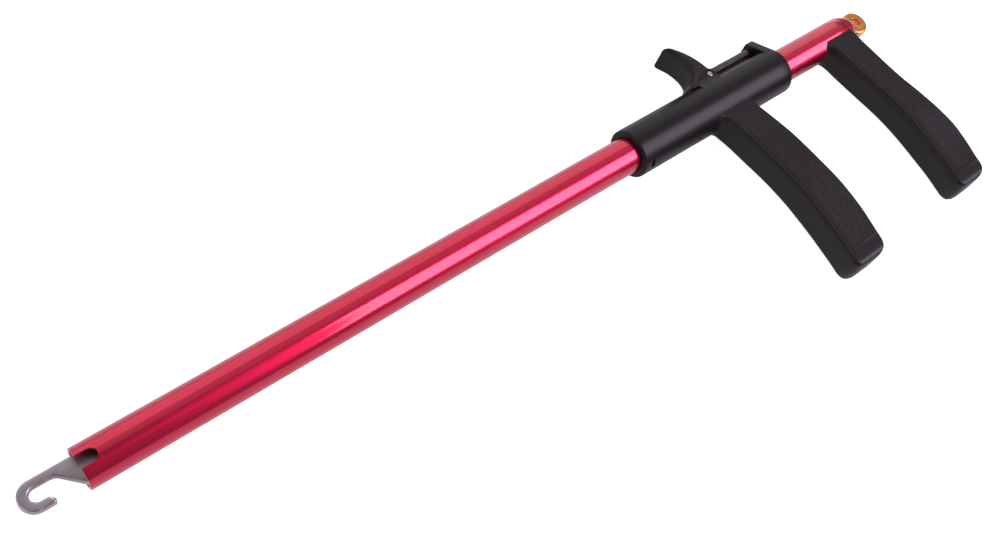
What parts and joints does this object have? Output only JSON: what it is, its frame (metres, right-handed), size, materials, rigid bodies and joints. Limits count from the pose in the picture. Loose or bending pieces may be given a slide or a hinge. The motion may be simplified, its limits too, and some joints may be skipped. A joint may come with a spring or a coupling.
{
  "type": "squeeze hook remover",
  "caption": "Slim pistol-grip hook remover: squeezing the sliding grip towards the fixed one draws a blunt hook blade into a notched barrel mouth, with a sprung thumb lever and a lanyard eye.",
  "frame": {"origin": "on the barrel's axis at the plane of its mouth", "axes": "+X along the barrel from the mouth to the rear grip, -Y the way both grips hang, +Z across the flat of the tool"},
  "size_m": [0.3547, 0.1065, 0.0178],
  "materials": {
    "anodised_red": "red anodised, polished",
    "anodised_gold": "orange-gold anodised, polished",
    "black_plastic": "black moulded plastic, satin, knurled patches on the grips",
    "stainless": "stainless steel, satin with polished edges",
    "spring_steel": "bright spring wire",
    "dark_spring_steel": "black oxide spring wire",
    "brass": "turned brass",
    "nylon": "natural nylon"
  },
  "bodies": {
    "barrel": {"barrel_tube": "anodised_red", "front_bush": "nylon", "mid_bush": "nylon", "spring_stop": "brass", "stop_pins": "stainless", "rear_grip": "black_plastic", "tail_plug": "anodised_red", "plug_pin": "stainless", "lanyard_eyelet": "anodised_gold", "return_spring": "spring_steel"},
    "slider": {"slider_sleeve": "black_plastic", "front_grip": "black_plastic", "grip_screws": "stainless", "drive_key": "dark_spring_steel", "crosshead": "brass", "pull_rod": "stainless", "guide_rod": "stainless", "rod_locknuts": "stainless", "blade_holder": "brass", "hook_blade": "stainless", "blade_rivets": "stainless", "spring_washer": "stainless", "lever_pin": "stainless", "spring_guide_pin": "stainless", "lever_spring": "dark_spring_steel"},
    "lever": {"thumb_lever": "black_plastic", "brake_shoe": "brass"}
  },
  "joints": [
    {"name": "slider_slide", "type": "slide", "parent": "barrel", "child": "slider", "axis": [1, 0, 0], "range_m": [0, 0.018], "stiffness_N_per_m": 150, "springref_m": -0.03, "deforming": ["return_spring"]},
    {"name": "lever_hinge", "type": "hinge", "parent": "slider", "child": "lever", "pos_m": [0.2535, 0.0093, 0], "axis": [0, 0, -1], "range_deg": [0, 12], "stiffness_Nm_per_rad": 0.02, "springref_deg": -20.05, "deforming": ["lever_spring"]}
  ]
}
